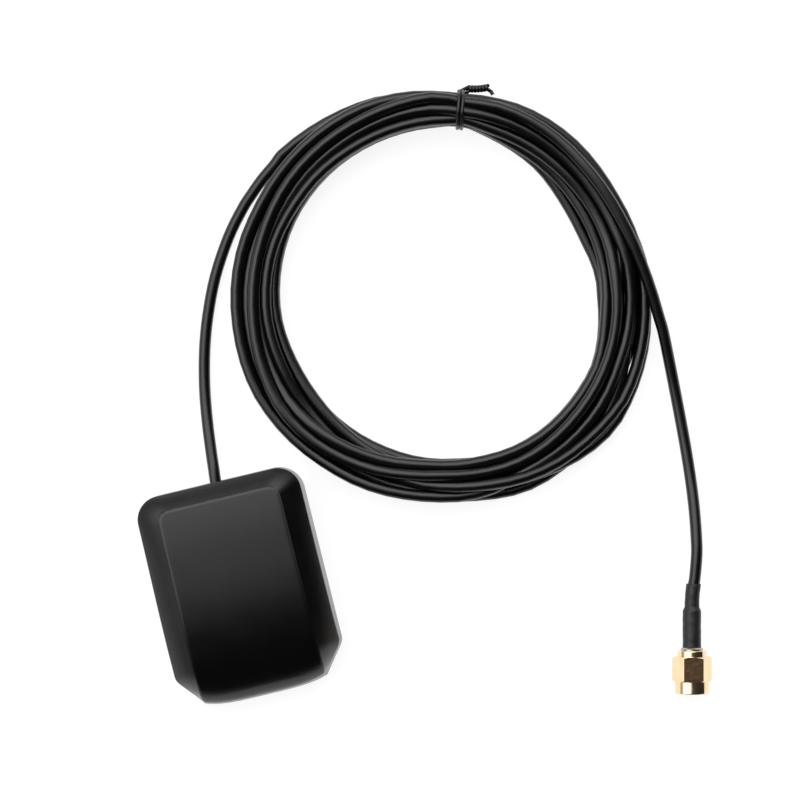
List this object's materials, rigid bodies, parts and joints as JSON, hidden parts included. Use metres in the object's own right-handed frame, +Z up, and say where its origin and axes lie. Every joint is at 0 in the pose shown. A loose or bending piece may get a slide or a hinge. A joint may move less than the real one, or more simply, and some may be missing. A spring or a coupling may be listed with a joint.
{
  "type": "gps antenna",
  "caption": "Magnetic-mount positioning antenna: a low black moulded puck with a thin coaxial lead, coiled and tied, that ends in a gold threaded plug.",
  "frame": {"origin": "middle of the puck's underside, on the face of its base plate", "axes": "+Z up through the puck's top; +Y towards the end where the lead leaves it, along its longest side; +X to its right seen from above with the lead end away"},
  "size_m": [0.13, 0.1526, 0.015],
  "materials": {
    "housing_abs": "fine spark-textured black ABS",
    "base_abs": "smooth black ABS",
    "magnet_ferrite": "ground dark grey ferrite",
    "seal_silicone": "dark silicone",
    "screw_steel": "zinc-plated steel",
    "tinned_sheet": "tinned sheet steel",
    "board_laminate": "green glass laminate",
    "chip_epoxy": "moulded black epoxy",
    "filter_ceramic": "tan ceramic package",
    "foam_tape": "white double-sided foam tape",
    "patch_ceramic": "fired ceramic with a silver electrode",
    "pin_solder": "tinned brass",
    "grommet_rubber": "black rubber",
    "jacket_pvc": "semi-gloss black PVC",
    "tie_pvc": "black PVC over wire",
    "shrink_polyolefin": "satin black polyolefin",
    "gold_plate": "bright gold plating on brass",
    "ring_bronze": "spring bronze",
    "nickel_plate": "bright plating on brass",
    "insulator_ptfe": "white fluoropolymer"
  },
  "bodies": {
    "antenna": {"top_housing": "housing_abs", "base_plate": "base_abs", "magnet": "magnet_ferrite", "housing_gasket": "seal_silicone", "screw_1": "screw_steel", "screw_2": "screw_steel", "screw_3": "screw_steel", "screw_4": "screw_steel", "shield_can": "tinned_sheet", "amplifier_chip": "chip_epoxy", "saw_filter": "filter_ceramic", "circuit_board": "board_laminate", "patch_tape": "foam_tape", "patch_ceramic": "patch_ceramic", "feed_pin": "pin_solder", "cable_grommet": "grommet_rubber", "clamp_ring": "tinned_sheet", "inner_lead": "jacket_pvc", "puck_lead": "jacket_pvc", "cord_coil": "jacket_pvc", "connector_lead": "jacket_pvc", "twist_tie": "tie_pvc", "heat_shrink": "shrink_polyolefin", "crimp_ferrule": "nickel_plate", "stripped_end": "jacket_pvc", "connector_body": "nickel_plate", "snap_ring": "ring_bronze", "connector_insulator": "insulator_ptfe", "centre_pin": "gold_plate", "face_gasket": "seal_silicone"},
    "coupling_nut": {"coupling_nut": "gold_plate"}
  },
  "joints": [
    {"name": "coupling_nut_spin", "type": "hinge", "parent": "antenna", "child": "coupling_nut", "pos_m": [0.09677, -0.04294, 0.00468], "axis": [-0.2334, -0.9724, 0], "continuous": true}
  ]
}
